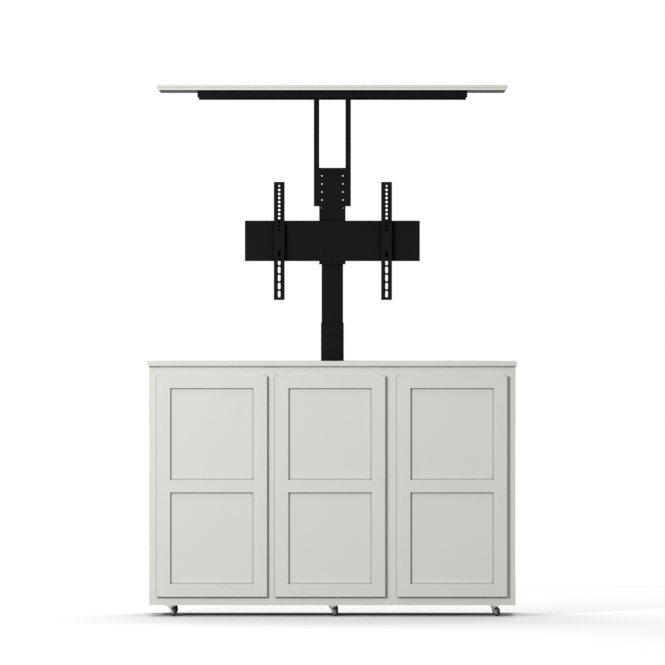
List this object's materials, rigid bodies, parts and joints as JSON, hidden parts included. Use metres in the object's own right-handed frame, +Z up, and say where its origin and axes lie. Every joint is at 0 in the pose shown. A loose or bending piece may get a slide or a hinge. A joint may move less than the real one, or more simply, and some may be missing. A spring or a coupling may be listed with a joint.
{
  "type": "tv lift cabinet",
  "caption": "Low three-door cabinet on casters with a lid that rises on a telescopic column carrying a television mount.",
  "frame": {"origin": "on the floor, under the centre of the worktop's outline", "axes": "+Z up, the doors face -Y, +X to the right when seen from the front"},
  "size_m": [1.365, 0.45, 1.967],
  "materials": {
    "painted_board": "smooth satin off-white paint on board",
    "black_steel": "fine matt black powder coat",
    "zinc_steel": "bright zinc plate",
    "black_plastic": "matt moulded",
    "cast_housing": "die cast",
    "bronze": "turned",
    "pad_rubber": "soft bumper",
    "tyre": "matt black tread on a grey hub"
  },
  "bodies": {
    "cabinet": {"side_panel_left": "painted_board", "side_panel_right": "painted_board", "bottom_board": "painted_board", "worktop": "painted_board", "back_panel": "painted_board", "rear_rail": "painted_board", "face_frame_stiles": "painted_board", "face_frame_rails": "painted_board", "hinge_leaves": "zinc_steel", "magnet_catches": "black_plastic", "lift_base_plate": "black_steel", "base_bolts": "zinc_steel", "column_stage_1": "black_steel", "stage_1_collar": "black_plastic", "screw_bearing_block": "bronze", "gearbox": "cast_housing", "lift_motor": "black_steel", "control_box": "black_plastic", "motor_cable": "black_plastic", "caster_plates": "zinc_steel", "caster_screws": "zinc_steel"},
    "screw": {"drive_screw": "zinc_steel"},
    "stage_2": {"column_stage_2": "black_steel", "stage_2_collar": "black_plastic", "screw_nut": "bronze"},
    "stage_3": {"column_stage_3": "black_steel", "stage_3_collar": "black_plastic"},
    "carrier": {"column_stage_4": "black_steel", "carriage_bracket": "black_steel", "mount_plate": "black_steel", "vesa_strip_left": "black_steel", "vesa_strip_right": "black_steel", "upright_left": "black_steel", "upright_right": "black_steel", "carriage_bolts": "black_steel", "lid_tray": "black_steel", "lid_board": "painted_board", "lid_screws": "zinc_steel", "lid_pads": "pad_rubber"},
    "door_left": {"door_left_frame": "painted_board", "door_left_panels": "painted_board", "door_left_hardware": "zinc_steel"},
    "door_centre": {"door_centre_frame": "painted_board", "door_centre_panels": "painted_board", "door_centre_hardware": "zinc_steel"},
    "door_right": {"door_right_frame": "painted_board", "door_right_panels": "painted_board", "door_right_hardware": "zinc_steel"},
    "swivel_1": {"caster_fork_1": "zinc_steel"},
    "wheel_1": {"caster_wheel_1": "tyre"},
    "swivel_2": {"caster_fork_2": "zinc_steel"},
    "wheel_2": {"caster_wheel_2": "tyre"},
    "swivel_3": {"caster_fork_3": "zinc_steel"},
    "wheel_3": {"caster_wheel_3": "tyre"},
    "swivel_4": {"caster_fork_4": "zinc_steel"},
    "wheel_4": {"caster_wheel_4": "tyre"},
    "swivel_5": {"caster_fork_5": "zinc_steel"},
    "wheel_5": {"caster_wheel_5": "tyre"},
    "swivel_6": {"caster_fork_6": "zinc_steel"},
    "wheel_6": {"caster_wheel_6": "tyre"}
  },
  "joints": [
    {"name": "lift_stage_2", "type": "slide", "parent": "cabinet", "child": "stage_2", "axis": [0, 0, 1], "range_m": [-0.45, 0]},
    {"name": "lift_stage_3", "type": "slide", "parent": "stage_2", "child": "stage_3", "axis": [0, 0, 1], "range_m": [-0.45, 0]},
    {"name": "lift_carrier", "type": "slide", "parent": "stage_3", "child": "carrier", "axis": [0, 0, 1], "range_m": [-0.1, 0]},
    {"name": "drive_screw_spin", "type": "hinge", "parent": "cabinet", "child": "screw", "pos_m": [0, 0.075, 0.345], "axis": [0, 0, 1], "continuous": true},
    {"name": "door_left_hinge", "type": "hinge", "parent": "cabinet", "child": "door_left", "pos_m": [-0.6445, -0.215, 0.4815], "axis": [0, 0, -1], "range_deg": [0, 95]},
    {"name": "door_centre_hinge", "type": "hinge", "parent": "cabinet", "child": "door_centre", "pos_m": [0.1905, -0.215, 0.4815], "axis": [0, 0, 1], "range_deg": [0, 95]},
    {"name": "door_right_hinge", "type": "hinge", "parent": "cabinet", "child": "door_right", "pos_m": [0.6415, -0.215, 0.4815], "axis": [0, 0, 1], "range_deg": [0, 95]},
    {"name": "caster_swivel_1", "type": "hinge", "parent": "cabinet", "child": "swivel_1", "pos_m": [-0.599, -0.148, 0.035], "axis": [0, 0, 1], "continuous": true},
    {"name": "caster_roll_1", "type": "hinge", "parent": "swivel_1", "child": "wheel_1", "pos_m": [-0.58893, -0.16411, 0.0165], "axis": [0.848, 0.5299, 0], "continuous": true},
    {"name": "caster_swivel_2", "type": "hinge", "parent": "cabinet", "child": "swivel_2", "pos_m": [0, -0.148, 0.035], "axis": [0, 0, 1], "continuous": true},
    {"name": "caster_roll_2", "type": "hinge", "parent": "swivel_2", "child": "wheel_2", "pos_m": [0.01007, -0.16411, 0.0165], "axis": [0.848, 0.5299, 0], "continuous": true},
    {"name": "caster_swivel_3", "type": "hinge", "parent": "cabinet", "child": "swivel_3", "pos_m": [0.599, -0.148, 0.035], "axis": [0, 0, 1], "continuous": true},
    {"name": "caster_roll_3", "type": "hinge", "parent": "swivel_3", "child": "wheel_3", "pos_m": [0.60907, -0.16411, 0.0165], "axis": [0.848, 0.5299, 0], "continuous": true},
    {"name": "caster_swivel_4", "type": "hinge", "parent": "cabinet", "child": "swivel_4", "pos_m": [-0.599, 0.165, 0.035], "axis": [0, 0, 1], "continuous": true},
    {"name": "caster_roll_4", "type": "hinge", "parent": "swivel_4", "child": "wheel_4", "pos_m": [-0.58893, 0.14889, 0.0165], "axis": [0.848, 0.5299, 0], "continuous": true},
    {"name": "caster_swivel_5", "type": "hinge", "parent": "cabinet", "child": "swivel_5", "pos_m": [0, 0.165, 0.035], "axis": [0, 0, 1], "continuous": true},
    {"name": "caster_roll_5", "type": "hinge", "parent": "swivel_5", "child": "wheel_5", "pos_m": [0.01007, 0.14889, 0.0165], "axis": [0.848, 0.5299, 0], "continuous": true},
    {"name": "caster_swivel_6", "type": "hinge", "parent": "cabinet", "child": "swivel_6", "pos_m": [0.599, 0.165, 0.035], "axis": [0, 0, 1], "continuous": true},
    {"name": "caster_roll_6", "type": "hinge", "parent": "swivel_6", "child": "wheel_6", "pos_m": [0.60907, 0.14889, 0.0165], "axis": [0.848, 0.5299, 0], "continuous": true}
  ],
  "couplings": [
    {"joint": "lift_stage_3", "follows": "lift_stage_2", "ratio": 1},
    {"joint": "lift_carrier", "follows": "lift_stage_2", "ratio": 0.22222},
    {"joint": "drive_screw_spin", "follows": "lift_stage_2", "rad_per_m": 314.16}
  ]
}
